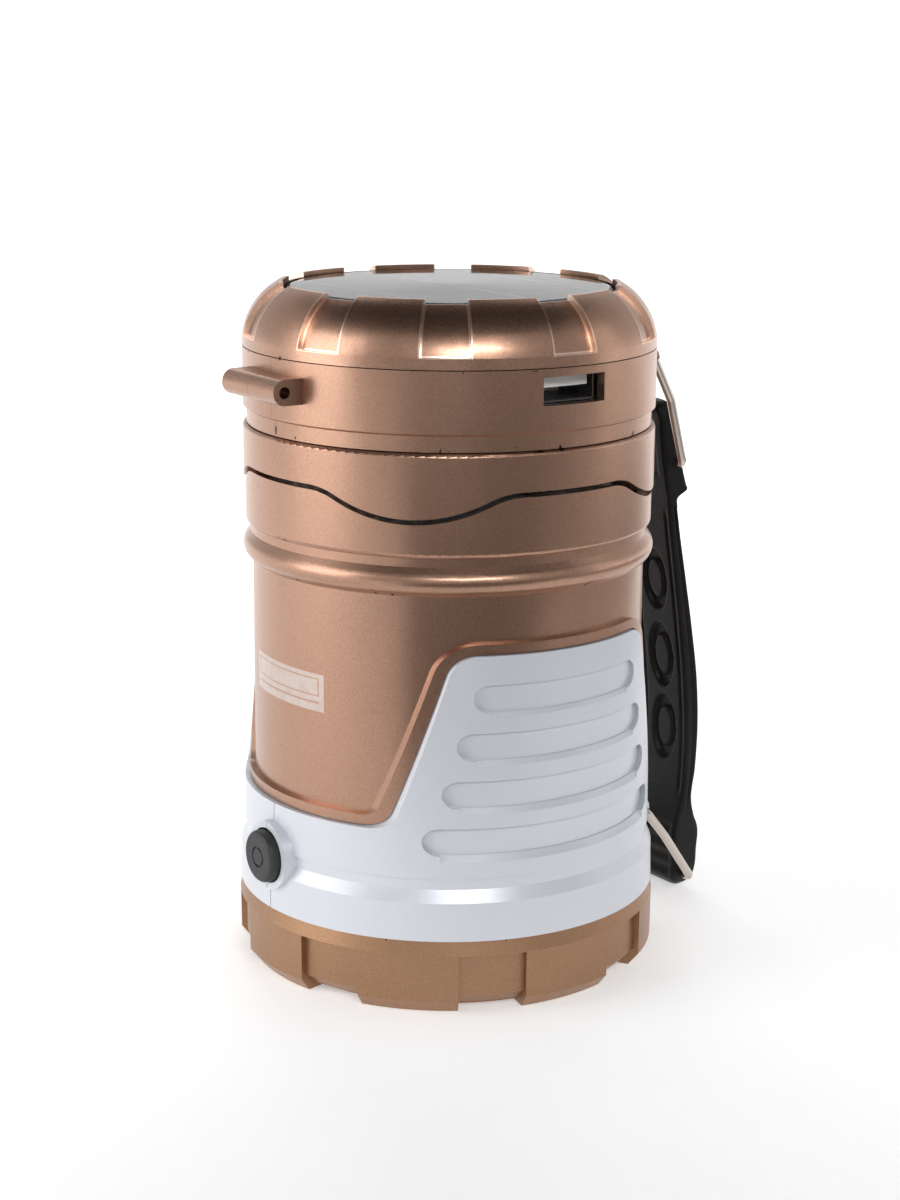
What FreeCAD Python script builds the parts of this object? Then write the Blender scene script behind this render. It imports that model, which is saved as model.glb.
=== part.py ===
import FreeCAD, Part
import math
import os
import re
import Sketcher

# Solar camping lantern with a torch in its base and a head that lifts off the barrel.
# Frame: origin at the centre of the plane it stands on, +Z up, the torch button faces -Y,
# the USB port faces +X and the carrying strap hangs on the +Y side.

SIZES = [
    ("bezel_radius", 44.8), ("bezel_top_radius", 44.1), ("bezel_height", 15.7),
    ("bezel_band", 12.6), ("bezel_foot_radius", 42.5), ("bezel_foot_rise", 2.7),
    ("bezel_recess_depth", 1.3), ("bezel_recess_angle", 18.0), ("bezel_blocks", 8),
    ("mouth_radius", 33.0), ("lens_seat_radius", 37.2), ("lens_seat_height", 3.0),
    ("lens_thickness", 2.0), ("seal_thickness", 1.0), ("reflector_height", 21.0),
    ("barrel_radius", 41.2), ("barrel_bore", 39.7), ("barrel_floor", 16.0),
    ("bead_radius", 42.6), ("bead_low", 86.6), ("bead_high", 92.0), ("groove_high", 94.1),
    ("cover_bore", 41.4), ("cover_foot_radius", 44.6), ("belt_low", 24.9),
    ("belt_high", 28.6), ("belt_radius", 43.2), ("cover_radius", 43.6),
    ("cover_top_radius", 43.0), ("panel_top", 74.4), ("panel_top_half", 23.2),
    ("window_floor", 38.3), ("panel_foot_half", 33.1), ("panel_corner", 5.5),
    ("window_corner", 4.5), ("slot_floor_radius", 42.3), ("slot_height", 5.7),
    ("slot_pitch", 9.8), ("lip_height", 1.9), ("lip_depth", 1.05), ("slot_first", 65.65), ("frame_radius", 42.4), ("frame_width", 2.2),
    ("frame_floor_width", 2.3), ("frame_gap", 0.25),
    ("button_height", 27.3), ("button_radius", 5.5), ("button_hole", 5.85),
    ("boss_radius", 7.25), ("boss_reach", 45.4), ("button_face", 47.6),
    ("wave_flat", 105.7), ("wave_drop", 5.2), ("wave_half", 21.5), ("wave_shoulder", 12.0),
    ("wave_gap", 1.1), ("head_radius", 43.0), ("collar_top", 114.8), ("neck_top", 117.9),
    ("neck_radius", 42.2), ("housing_top", 130.8), ("housing_bore", 40.6),
    ("crown_top", 143.4), ("crown_shoulder", 133.0), ("crown_rim_radius", 35.5),
    ("crown_curve", 14.5), ("crown_bore", 34.5), ("crown_recess_depth", 1.2),
    ("crown_recess_angle", 13.3), ("crown_recesses", 10), ("panel_radius", 34.0),
    ("panel_seat", 140.4), ("port_width", 14.9), ("port_height", 5.6), ("port_level", 126.2),
    ("lug_reach", 46.0), ("lug_radius", 2.6), ("lug_level", 125.0), ("lug_length", 20.0),
    ("lug_bore", 1.2), ("low_lug_reach", 46.5), ("low_lug_level", 23.0), ("low_lug_half", 10.0),
    ("wire_radius", 1.0), ("wire_bore", 1.08), ("strap_width", 16.0),
    ("chassis_floor", 35.5), ("chassis_radius", 36.0), ("chassis_top", 90.5),
    ("chimney_radius", 38.6), ("chimney_bore", 36.9), ("chimney_floor", 58.0),
    ("chimney_top", 112.0), ("stop_ring_floor", 96.0), ("stop_ring_top", 99.0),
    ("cell_radius", 9.0), ("cell_length", 49.0), ("cell_floor", 40.4), ("bay_level", 112.0),
    ("board_level", 121.8), ("board_thickness", 1.6),
]
SIZE = dict(SIZES)

doc = FreeCAD.newDocument("lantern")
sheet = doc.addObject("Spreadsheet::Sheet", "dims")
for row, (name, size) in enumerate(SIZES, start=1):
    sheet.set("A%d" % row, name)
    sheet.set("B%d" % row, str(size))
    sheet.setAlias("B%d" % row, name)
doc.recompute()

nodes = []


def number(text):
    """Value of a sum of products of size names and plain numbers."""
    total = 0.0
    for sign, term in re.findall(r"([+-]?)\s*([^+\s-][^+-]*)", str(text)):
        product = 1.0
        for factor in term.split("*"):
            factor = factor.strip()
            product *= SIZE[factor] if factor in SIZE else float(factor)
        total += -product if sign == "-" else product
    return total


def formula(text):
    """The same sum written against the sheet."""
    return re.sub(r"[a-z][a-z_]+", lambda found: "dims." + found.group(0), str(text))


def bind(item, path, text):
    """Drive one property of an object from the sheet."""
    item.setExpression(path, formula(text))


def has_name(text):
    return re.search(r"[a-z]", str(text)) is not None


def new_body(label):
    body = doc.addObject("PartDesign::Body", label)
    nodes.append(body)
    return body


def origin_part(body, role):
    return [part for part in body.Origin.OriginFeatures if part.Role == role][0]


def new_sketch(body, role, level=None, turn=0.0):
    """Sketch on an origin plane, lifted along its normal or turned about its upright axis."""
    sketch = body.newObject("Sketcher::SketchObject", "sketch")
    sketch.AttachmentSupport = [(origin_part(body, role), "")]
    sketch.MapMode = "FlatFace"
    height = 0.0 if level is None else number(level)
    turned = FreeCAD.Rotation(FreeCAD.Vector(0, 1, 0), turn)
    sketch.AttachmentOffset = FreeCAD.Placement(FreeCAD.Vector(0, 0, height), turned)
    if level is not None and has_name(level):
        bind(sketch, "AttachmentOffset.Base.z", level)
    return sketch


def pin(sketch, item, end, across, up):
    """Fix one point of a sketch by its two distances from the sketch origin."""
    for kind, axis, text in (("DistanceX", -2, across), ("DistanceY", -1, up)):
        value = number(text)
        if abs(value) < 1e-9:
            sketch.addConstraint(Sketcher.Constraint("PointOnObject", item, end, axis))
            continue
        at = sketch.addConstraint(Sketcher.Constraint(kind, -1, 1, item, end, value))
        if has_name(text):
            bind(sketch, "Constraints[%d]" % at, text)


def outline(sketch, points, arcs=None):
    """Closed outline through points; arcs gives the radius of the edge after a point,
    positive where it turns left and negative where it turns right."""
    arcs = arcs or {}
    spots = [FreeCAD.Vector(number(x), number(y), 0) for x, y in points]
    starts, ends = [], []
    for index, spot in enumerate(spots):
        after = spots[(index + 1) % len(spots)]
        if index not in arcs:
            item = sketch.addGeometry(Part.LineSegment(spot, after), False)
            starts.append((item, 1))
            ends.append((item, 2))
            continue
        bend = number(arcs[index].lstrip("-"))
        left = not arcs[index].startswith("-")
        chord = after - spot
        side = FreeCAD.Vector(-chord.y, chord.x, 0) * (1.0 if left else -1.0)
        side.normalize()
        centre = (spot + after) * 0.5 + side * math.sqrt(bend ** 2 - chord.Length ** 2 / 4)
        first, last = (spot, after) if left else (after, spot)
        begin = math.atan2(first.y - centre.y, first.x - centre.x)
        finish = math.atan2(last.y - centre.y, last.x - centre.x)
        circle = Part.Circle(centre, FreeCAD.Vector(0, 0, 1), bend)
        item = sketch.addGeometry(Part.ArcOfCircle(circle, begin, finish), False)
        starts.append((item, 1 if left else 2))
        ends.append((item, 2 if left else 1))
        at = sketch.addConstraint(Sketcher.Constraint("Radius", item, bend))
        if has_name(arcs[index]):
            bind(sketch, "Constraints[%d]" % at, arcs[index].lstrip("-"))
    for index, (item, end) in enumerate(starts):
        before = ends[index - 1]
        sketch.addConstraint(Sketcher.Constraint("Coincident", before[0], before[1], item, end))
        pin(sketch, item, end, points[index][0], points[index][1])


def softened(points, corners):
    """Points and arcs of an outline whose listed corners are rounded to a radius."""
    spots = [FreeCAD.Vector(number(x), number(y), 0) for x, y in points]
    rounded_points, arcs = [], {}
    for index, spot in enumerate(spots):
        if index not in corners:
            rounded_points.append(points[index])
            continue
        radius = number(corners[index])
        inward = (spots[index - 1] - spot).normalize()
        outward = (spots[(index + 1) % len(spots)] - spot).normalize()
        reach = radius / math.tan(inward.getAngle(outward) / 2)
        left = inward.cross(outward).z < 0
        arcs[len(rounded_points)] = ("" if left else "-") + "%.5f" % radius
        for tangent in (spot + inward * reach, spot + outward * reach):
            rounded_points.append(("%.5f" % tangent.x, "%.5f" % tangent.y))
    return rounded_points, arcs


def disc(sketch, across, up, radius):
    """Circle with its centre and radius driven from the sheet."""
    centre = FreeCAD.Vector(number(across), number(up), 0)
    circle = Part.Circle(centre, FreeCAD.Vector(0, 0, 1), number(radius))
    item = sketch.addGeometry(circle, False)
    if abs(number(across)) < 1e-9 and abs(number(up)) < 1e-9:
        sketch.addConstraint(Sketcher.Constraint("Coincident", item, 3, -1, 1))
    else:
        pin(sketch, item, 3, across, up)
    at = sketch.addConstraint(Sketcher.Constraint("Radius", item, number(radius)))
    if has_name(radius):
        bind(sketch, "Constraints[%d]" % at, radius)


def block(sketch, left, right, low, high):
    outline(sketch, [(left, low), (right, low), (right, high), (left, high)])


def pill(sketch, half, level, radius):
    """Round-ended slot, centred on the upright axis."""
    low = "%s - %s" % (level, radius)
    high = "%s + %s" % (level, radius)
    outline(sketch, [("-" + half, low), (half, low), (half, high), ("-" + half, high)],
            {1: radius + " + 0.001", 3: radius + " + 0.001"})


def turned(body, sketch, angle=360.0, cut=False, both=False):
    """Solid or groove turned about the upright axis of its sketch."""
    kind = "PartDesign::Groove" if cut else "PartDesign::Revolution"
    item = body.newObject(kind, "turned")
    item.Profile = sketch
    item.ReferenceAxis = (sketch, ["V_Axis"])
    item.Angle = number(angle)
    if has_name(angle):
        bind(item, "Angle", angle)
    item.Midplane = both
    body.Tip = item
    return item


def padded(body, sketch, length, both=False, back=False):
    item = body.newObject("PartDesign::Pad", "pad")
    item.Profile = sketch
    item.Length = number(length)
    if has_name(length):
        bind(item, "Length", length)
    item.SideType = "Symmetric" if both else "One side"
    item.Reversed = back
    body.Tip = item
    return item


def pocketed(body, sketch, length=None, both=False, back=False):
    """Cut right through unless a length is given."""
    item = body.newObject("PartDesign::Pocket", "pocket")
    item.Profile = sketch
    item.SideType = "Symmetric" if both else "One side"
    if length is None:
        item.Type = "ThroughAll"
    else:
        item.Length = number(length)
        if has_name(length):
            bind(item, "Length", length)
    item.Reversed = back
    body.Tip = item
    return item


def repeated(body, feature, count, angle=360.0):
    item = body.newObject("PartDesign::PolarPattern", "pattern")
    item.Originals = [feature]
    item.Axis = (origin_part(body, "Z_Axis"), [""])
    item.Angle = angle
    item.Occurrences = int(number(count))
    if has_name(count):
        bind(item, "Occurrences", count)
    body.Tip = item
    return item


def rounded(body, radius, choose):
    """Round the edges of the body that the test picks out."""
    doc.recompute()
    base = body.Tip
    names = ["Edge%d" % (at + 1) for at, edge in enumerate(base.Shape.Edges) if choose(edge)]
    item = body.newObject("PartDesign::Fillet", "rounding")
    item.Base = (base, names)
    item.Radius = number(radius)
    if has_name(radius):
        bind(item, "Radius", radius)
    body.Tip = item
    return item


def ring_edge(radius, level, slack=0.05):
    """Test for circular edges about the upright axis."""
    def choose(edge):
        if not hasattr(edge.Curve, "Radius"):
            return False
        box = edge.BoundBox
        flat = abs(box.ZMax - box.ZMin) < 1e-4
        return flat and abs(edge.Curve.Radius - radius) < slack and abs(box.ZMax - level) < slack
    return choose


def ring(label, inner, outer, low, high):
    """Plain turned ring or disc."""
    body = new_body(label)
    sketch = new_sketch(body, "XZ_Plane")
    block(sketch, inner, outer, low, high)
    turned(body, sketch)
    return body


def solid_node(label, shape):
    """Node whose form neither sketches nor primitives can carry."""
    item = doc.addObject("Part::Feature", label)
    item.Shape = shape
    nodes.append(item)
    return item


def bent_wire(points, radius, bend):
    """Round wire along a polyline, each corner bent to one radius."""
    spots = [FreeCAD.Vector(*point) for point in points]
    edges = []
    last = spots[0]
    for before, corner, after in zip(spots, spots[1:], spots[2:]):
        inward = (before - corner).normalize()
        outward = (after - corner).normalize()
        half = inward.getAngle(outward) / 2
        reach = bend / math.tan(half)
        start = corner + inward * reach
        finish = corner + outward * reach
        middle = (inward + outward).normalize()
        top = corner + middle * (bend / math.sin(half) - bend)
        edges.append(Part.LineSegment(last, start).toShape())
        edges.append(Part.Arc(start, top, finish).toShape())
        last = finish
    edges.append(Part.LineSegment(last, spots[-1]).toShape())
    path = Part.Wire(edges)
    heading = spots[1] - spots[0]
    section = Part.Wire([Part.makeCircle(radius, spots[0], heading)])
    return path.makePipeShell([section], True, False)


# --- torch in the base ---------------------------------------------------------------------

bezel = new_body("base_bezel")
sketch = new_sketch(bezel, "XZ_Plane")
outline(sketch, [
    ("mouth_radius", 0), ("bezel_foot_radius", 0), ("bezel_radius - 0.1", "bezel_foot_rise"),
    ("bezel_radius", "bezel_band"), ("bezel_top_radius", "bezel_height"),
    ("cover_bore", "bezel_height"), ("cover_bore", 9.0), ("lens_seat_radius", 9.0),
    ("lens_seat_radius", "lens_seat_height"), ("mouth_radius", "lens_seat_height")])
turned(bezel, sketch)
sketch = new_sketch(bezel, "XZ_Plane", turn=22.5)
outline(sketch, [
    (38.5, -1.0), (38.5, 0), (38.6, 1.6), ("bezel_foot_radius - 1.0", 1.6),
    ("bezel_radius - bezel_recess_depth", 3.7),
    ("bezel_radius - bezel_recess_depth", "bezel_band - 0.1"),
    ("bezel_radius + 1.0", "bezel_band - 0.1"), ("bezel_radius + 1.0", -1.0)])
groove = turned(bezel, sketch, "bezel_recess_angle", cut=True, both=True)
repeated(bezel, groove, "bezel_blocks")

ring("torch_lens", 0, "lens_seat_radius - 0.3", "lens_seat_height",
     "lens_seat_height + lens_thickness")
ring("torch_seal", "lens_seat_radius - 2.0", "lens_seat_radius - 0.4",
     "lens_seat_height + lens_thickness", "lens_seat_height + lens_thickness + seal_thickness")

reflector = new_body("torch_reflector")
sketch = new_sketch(reflector, "XZ_Plane")
outline(sketch, [
    (34.2, 6.0), (36.9, 6.0), (36.9, 7.2), (35.0, 7.2), (6.4, 27.0), (5.0, 27.0)],
    {3: "42.0", 5: "-40.6"})
turned(reflector, sketch)

ring("torch_board", 0, 15.0, 27.0, 28.6)
torch_led = new_body("torch_led")
sketch = new_sketch(torch_led, "XZ_Plane")
outline(sketch, [(0, 23.6), (2.6, 26.2), (3.6, 26.2), (3.6, 27.0), (0, 27.0)], {0: "2.6"})
turned(torch_led, sketch)

# --- barrel -------------------------------------------------------------------------------

barrel = new_body("barrel_shell")
sketch = new_sketch(barrel, "XZ_Plane")
block(sketch, "barrel_radius - 0.5", "frame_radius", "window_floor + frame_gap",
      "panel_top + frame_width")
turned(barrel, sketch)
SLOPE = (SIZE["panel_foot_half"] - SIZE["panel_top_half"]) / (
    SIZE["panel_top"] - SIZE["window_floor"])


def panel_side(level, margin):
    """Half width of the grip panel at a level, grown by a margin square to its side."""
    fall = SLOPE * (number(level) - SIZE["window_floor"])
    return SIZE["panel_foot_half"] - fall + number(margin) * math.sqrt(1 + SLOPE ** 2)


def window(sketch, side, low, high, margin, foot_round, head_round):
    """Opening beside the grip panel, above its low edge; side is the sign along Y."""
    foot = panel_side(low, margin)
    head = panel_side(high, margin)
    points = [(foot, number(low)), (50.0, number(low)), (50.0, 79.0), (head - 9.0, 79.0),
              (head - 9.0, number(high)), (head, number(high))]
    points = [("%.5f" % (side * y), "%.5f" % z) for y, z in points]
    outline(sketch, *softened(points, {0: foot_round, 5: head_round}))


sketch = new_sketch(barrel, "YZ_Plane")
for side in (-1, 1):
    window(sketch, side, "window_floor + frame_floor_width", "panel_top + frame_width",
           "frame_width", "window_corner - frame_width", "panel_corner + frame_width")
pocketed(barrel, sketch, both=True)
sketch = new_sketch(barrel, "YZ_Plane")
low = SIZE["window_floor"] + SIZE["frame_gap"]
high = SIZE["panel_top"] + SIZE["frame_gap"]
foot = panel_side(low, "frame_gap")
head = panel_side(high, "frame_gap")
points = [(-50.0, low - 1.0), (50.0, low - 1.0), (50.0, low), (foot, low), (head, high),
          (-head, high), (-foot, low), (-50.0, low)]
points = [("%.5f" % y, "%.5f" % z) for y, z in points]
corner = "panel_corner + frame_gap"
foot_corner = "window_corner - frame_gap"
outline(sketch, *softened(points, {3: foot_corner, 4: corner, 5: corner, 6: foot_corner}))
pocketed(barrel, sketch, both=True)

sketch = new_sketch(barrel, "XZ_Plane")
outline(sketch, [
    ("barrel_bore", "barrel_floor"), ("barrel_radius", "barrel_floor"),
    ("barrel_radius", "bead_low - 0.6"), ("barrel_radius + 0.6", "bead_low"),
    ("bead_radius - 0.2", "bead_high - 1.0"), ("barrel_radius + 0.5", "bead_high"),
    ("barrel_radius + 0.5", "groove_high - 0.3"), ("bead_radius", "groove_high + 0.7"),
    ("bead_radius", "wave_flat"), ("barrel_bore", "wave_flat")], {3: "2.9", 6: "1.0"})
turned(barrel, sketch)

bend_angle = 2 * math.atan(SIZE["wave_drop"] / SIZE["wave_half"])
bend_sum = SIZE["wave_half"] / math.sin(bend_angle)
shoulder_across = SIZE["wave_half"] - SIZE["wave_shoulder"] * math.sin(bend_angle)
shoulder_fall = SIZE["wave_shoulder"] * (1 - math.cos(bend_angle))


def wave_dip(body, turn):
    """Cut one pair of opposite dips in the rim of the barrel."""
    sketch = new_sketch(body, "XZ_Plane", turn=turn)
    outline(sketch, [
        ("-wave_half", "wave_flat + 1.0"), ("-wave_half", "wave_flat"),
        ("-%.4f" % shoulder_across, "wave_flat - %.4f" % shoulder_fall),
        ("%.4f" % shoulder_across, "wave_flat - %.4f" % shoulder_fall),
        ("wave_half", "wave_flat"), ("wave_half", "wave_flat + 1.0")],
        {1: "-wave_shoulder", 2: "%.4f" % (bend_sum - SIZE["wave_shoulder"]),
         3: "-wave_shoulder"})
    return pocketed(body, sketch, both=True)


for turn in (45, 135):
    wave_dip(barrel, turn)
sketch = new_sketch(barrel, "XZ_Plane")
disc(sketch, 0, "button_height", "button_hole")
pocketed(barrel, sketch, back=True)

# Two silver half shells clasp the foot of the barrel and carry the grip panels.
cover = new_body("cover_right")
sketch = new_sketch(cover, "XZ_Plane")
outline(sketch, [
    ("slot_floor_radius", 30.0), ("cover_radius - 0.02", 30.0),
    ("cover_top_radius", "panel_top"), ("slot_floor_radius", "panel_top")])
turned(cover, sketch, 179.7, both=True)
SLOT_HALVES = (20.3, 23.2, 25.7, 28.9)
sketch = new_sketch(cover, "YZ_Plane")
for index, half in enumerate(SLOT_HALVES):
    reach = "%.2f" % (half - SIZE["slot_height"] / 2)
    pill(sketch, reach, "slot_first - slot_pitch*%d" % index, "slot_height*0.5")
pocketed(cover, sketch, back=True)
# The lower lip of each slot slopes outward and fades out towards its round ends.
for index, half in enumerate(SLOT_HALVES):
    level = "slot_first - slot_pitch*%d - slot_height*0.5" % index
    sketch = new_sketch(cover, "XZ_Plane")
    outline(sketch, [
        ("cover_radius + 0.3", level + " - lip_height"), ("cover_radius + 0.3", level + " + 0.1"),
        ("cover_radius - lip_depth", level + " + 0.1")])
    reach = half - SIZE["slot_height"] / 2
    arc = 2 * math.degrees(math.asin(reach / SIZE["cover_radius"]))
    turned(cover, sketch, "%.3f" % arc, cut=True, both=True)
sketch = new_sketch(cover, "XZ_Plane")
outline(sketch, [
    ("cover_bore", "bezel_height"), ("cover_foot_radius", "bezel_height"),
    ("cover_radius + 0.8", "belt_low - 1.2"), ("belt_radius", "belt_low + 1.4"),
    ("belt_radius", "belt_high"), ("cover_radius", "belt_high"),
    ("cover_radius - 0.02", 30.0), ("slot_floor_radius", 30.0),
    ("slot_floor_radius", "panel_top"), ("cover_bore", "panel_top")])
turned(cover, sketch, 179.7, both=True)
sketch = new_sketch(cover, "YZ_Plane")
for side in (-1, 1):
    window(sketch, side, "window_floor", "panel_top", "0.0", "window_corner", "panel_corner")
pocketed(cover, sketch, back=True)
sketch = new_sketch(cover, "XZ_Plane", level="cover_bore + 0.2")
outline(sketch, [
    (0.1, "button_height - boss_radius"), (0.1, "button_height + boss_radius")],
    {0: "boss_radius + 0.001"})
padded(cover, sketch, "boss_reach - cover_bore - 0.2")
sketch = new_sketch(cover, "YZ_Plane", level=0.1)
outline(sketch, [
    ("cover_bore + 0.1", "low_lug_level - lug_radius"),
    ("low_lug_reach", "low_lug_level - lug_radius"),
    ("low_lug_reach", "low_lug_level + lug_radius"),
    ("cover_bore + 0.1", "low_lug_level + lug_radius")], {1: "lug_radius + 0.001"})
disc(sketch, "low_lug_reach", "low_lug_level", "wire_bore")
padded(cover, sketch, "low_lug_half - 0.1")
sketch = new_sketch(cover, "XZ_Plane")
disc(sketch, 0, "button_height", "button_hole")
pocketed(cover, sketch, back=True)

mirror = doc.addObject("Part::Mirroring", "cover_left")
mirror.Source = cover
mirror.Normal = FreeCAD.Vector(1, 0, 0)
nodes.append(mirror)

# --- inside the barrel -----------------------------------------------------------------------

chassis = new_body("chassis")
sketch = new_sketch(chassis, "XZ_Plane")
outline(sketch, [
    (4.0, "chassis_floor"), ("barrel_bore", "chassis_floor"),
    ("barrel_bore", "chassis_floor + 2.0"), ("chassis_radius", "chassis_floor + 2.0"),
    ("chassis_radius", "chassis_top"), ("chassis_radius - 1.6", "chassis_top"),
    ("chassis_radius - 1.6", "chassis_floor + 2.0"), (4.0, "chassis_floor + 2.0")])
turned(chassis, sketch)
sketch = new_sketch(chassis, "XY_Plane", level="chassis_top - 12.0")
for turn in (30, 150, 270):
    angle = math.radians(turn)
    disc(sketch, "%.4f" % (32.0 * math.cos(angle)), "%.4f" % (32.0 * math.sin(angle)), "3.2")
padded(chassis, sketch, 12.0)
sketch = new_sketch(chassis, "XY_Plane", level="chassis_top")
for turn in (30, 150, 270):
    angle = math.radians(turn)
    disc(sketch, "%.4f" % (32.0 * math.cos(angle)), "%.4f" % (32.0 * math.sin(angle)), "1.3")
pocketed(chassis, sketch, 9.0)

deck = new_body("deck_plate")
sketch = new_sketch(deck, "XY_Plane", level="chassis_top")
disc(sketch, 0, 0, "chassis_radius")
for turn in (30, 150, 270):
    angle = math.radians(turn)
    disc(sketch, "%.4f" % (32.0 * math.cos(angle)), "%.4f" % (32.0 * math.sin(angle)), "1.5")
disc(sketch, 30.0, 0, 3.4)
padded(deck, sketch, 1.6)


def screw_set(label, spots, low, seat, shank, head_radius, head_height):
    """One node with a screw at each spot: a shank and a pan head with a cross slot."""
    parts = []
    for x, y in spots:
        spot = FreeCAD.Vector(x, y, 0)
        stem = Part.makeCylinder(shank, seat - low, spot + FreeCAD.Vector(0, 0, low))
        head = Part.makeCylinder(head_radius, head_height, spot + FreeCAD.Vector(0, 0, seat))
        screw = stem.fuse(head).removeSplitter()
        for length, width in ((head_radius * 1.3, 0.7), (0.7, head_radius * 1.3)):
            corner = spot + FreeCAD.Vector(-length / 2, -width / 2, seat + head_height * 0.45)
            screw = screw.cut(Part.makeBox(length, width, head_height, corner))
        parts.append(screw)
    return solid_node(label, Part.makeCompound(parts))


def circle_spots(radius, angles):
    return [(radius * math.cos(math.radians(turn)), radius * math.sin(math.radians(turn)))
            for turn in angles]


screw_set("deck_screws", circle_spots(32.0, (30, 150, 270)), SIZE["chassis_top"] - 8.0,
          SIZE["chassis_top"] + 1.6, 1.15, 2.6, 1.5)

lamp_board = new_body("lamp_board")
sketch = new_sketch(lamp_board, "XY_Plane", level="chassis_top + 1.6")
disc(sketch, 0, 0, 25.0)
padded(lamp_board, sketch, "board_thickness")

lamp_leds = []
for x, y in circle_spots(17.0, range(0, 360, 60)):
    base = Part.makeBox(5.0, 5.0, 0.9, FreeCAD.Vector(x - 2.5, y - 2.5, 0))
    dome = Part.makeSphere(1.9, FreeCAD.Vector(x, y, 0.7), FreeCAD.Vector(0, 0, 1), 0, 90, 360)
    lamp_leds.append(base.fuse(dome))
leds = solid_node("lamp_leds", Part.makeCompound(lamp_leds))
leds.Placement.Base = FreeCAD.Vector(0, 0, SIZE["chassis_top"] + 3.2)
bind(leds, "Placement.Base.z", "chassis_top + 1.6 + board_thickness")

ring("stop_ring", "chimney_radius + 0.3", "barrel_bore", "stop_ring_floor", "stop_ring_top")

cell = new_body("battery_cell")
sketch = new_sketch(cell, "XZ_Plane")
outline(sketch, [(0, "cell_floor"), ("cell_radius - 0.4", "cell_floor"),
                 ("cell_radius", "cell_floor + 0.4"), ("cell_radius", "cell_floor + 47.6"),
                 ("cell_radius - 0.4", "cell_floor + 48.0"), (2.8, "cell_floor + 48.0"),
                 (2.8, "cell_floor + cell_length"), (0, "cell_floor + cell_length")])
turned(cell, sketch)

cradle = new_body("battery_cradle")
sketch = new_sketch(cradle, "XZ_Plane")
block(sketch, "cell_radius + 0.3", "cell_radius + 2.0", "chassis_floor + 2.0", 84.0)
turned(cradle, sketch, 200.0, both=True)

turns = Part.makeHelix(1.05, 2.1, 4.5)
section = Part.Wire([Part.makeCircle(0.28, FreeCAD.Vector(4.5, 0, 0), FreeCAD.Vector(0, 1, 0))])
coil = Part.Wire(turns).makePipeShell([section], True, True)
spring = solid_node("battery_spring", coil)
spring.Placement.Base = FreeCAD.Vector(0, 0, SIZE["chassis_floor"] + 2.4)
bind(spring, "Placement.Base.z", "chassis_floor + 2.4")
ring("battery_contact", 0, 6.0, "cell_floor + cell_length + 0.05", "cell_floor + cell_length + 0.5")

driver = new_body("driver_board")
sketch = new_sketch(driver, "XY_Plane", level="chassis_floor + 2.0")
outline(sketch, [(-14.0, 14.5), (14.0, 14.5), (14.0, 16.1), (-14.0, 16.1)])
padded(driver, sketch, 44.0)

parts = [
    Part.makeCylinder(5.0, 6.0, FreeCAD.Vector(-7.0, 16.1, 54.0), FreeCAD.Vector(0, 1, 0)),
    Part.makeBox(6.0, 1.6, 5.0, FreeCAD.Vector(3.0, 16.1, 52.0)),
    Part.makeCylinder(3.1, 8.0, FreeCAD.Vector(8.0, 16.1, 72.0), FreeCAD.Vector(0, 1, 0)),
    Part.makeBox(3.0, 1.2, 2.0, FreeCAD.Vector(-10.0, 16.1, 66.0)),
    Part.makeBox(3.0, 1.2, 2.0, FreeCAD.Vector(-4.0, 16.1, 66.0)),
    Part.makeBox(8.0, 5.0, 6.0, FreeCAD.Vector(-12.0, 16.1, 74.0)),
]
solid_node("driver_parts", Part.makeCompound(parts))

leads = [
    bent_wire([(6.8, 0.0, 89.7), (12.5, 4.0, 89.7), (12.5, 11.0, 86.0), (9.0, 13.7, 78.0)],
              0.7, 1.2),
    bent_wire([(-5.6, 0.0, 38.6), (-13.0, 0.0, 38.6), (-10.0, 13.7, 44.0), (-6.0, 13.7, 50.0)],
              0.7, 1.2),
]
solid_node("battery_leads", Part.makeCompound(leads))

button_board = new_body("button_board")
sketch = new_sketch(button_board, "XZ_Plane", level=31.4)
block(sketch, -8.0, 8.0, 21.5, "chassis_floor")
padded(button_board, sketch, 1.6)
switch = new_body("tact_switch")
sketch = new_sketch(switch, "XZ_Plane", level=33.0)
block(sketch, -3.0, 3.0, "button_height - 3.0", "button_height + 3.0")
padded(switch, sketch, 2.0)
sketch = new_sketch(switch, "XZ_Plane", level=35.0)
disc(sketch, 0, "button_height", 1.6)
padded(switch, sketch, 1.2)

# --- torch button ------------------------------------------------------------------------------

button = new_body("torch_button")
sketch = new_sketch(button, "XZ_Plane", level=37.6)
disc(sketch, 0, "button_height", 6.7)
padded(button, sketch, 1.0)
sketch = new_sketch(button, "XZ_Plane", level=38.6)
disc(sketch, 0, "button_height", "button_radius")
padded(button, sketch, "button_face - 38.6")
rounded(button, 1.0, lambda edge: edge.BoundBox.YMax < -47.5 and edge.BoundBox.XLength > 9.0)
sketch = new_sketch(button, "XZ_Plane", level="button_face")
disc(sketch, 0, "button_height", 2.2)
disc(sketch, 0, "button_height", 1.8)
pocketed(button, sketch, 0.3)

# --- lifting head --------------------------------------------------------------------------------

collar = new_body("collar_ring")
sketch = new_sketch(collar, "XZ_Plane")
block(sketch, "barrel_bore + 0.2", "head_radius", "wave_flat - wave_drop + wave_gap",
      "collar_top - 0.2")
turned(collar, sketch)
rounded(collar, 0.7, ring_edge(SIZE["head_radius"], SIZE["collar_top"] - 0.2))
gap = SIZE["wave_gap"]
tight = SIZE["wave_shoulder"] + gap
wide = bend_sum - SIZE["wave_shoulder"] - gap
tongue_across = SIZE["wave_half"] - tight * math.sin(bend_angle)
tongue_fall = tight * (1 - math.cos(bend_angle))


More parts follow.
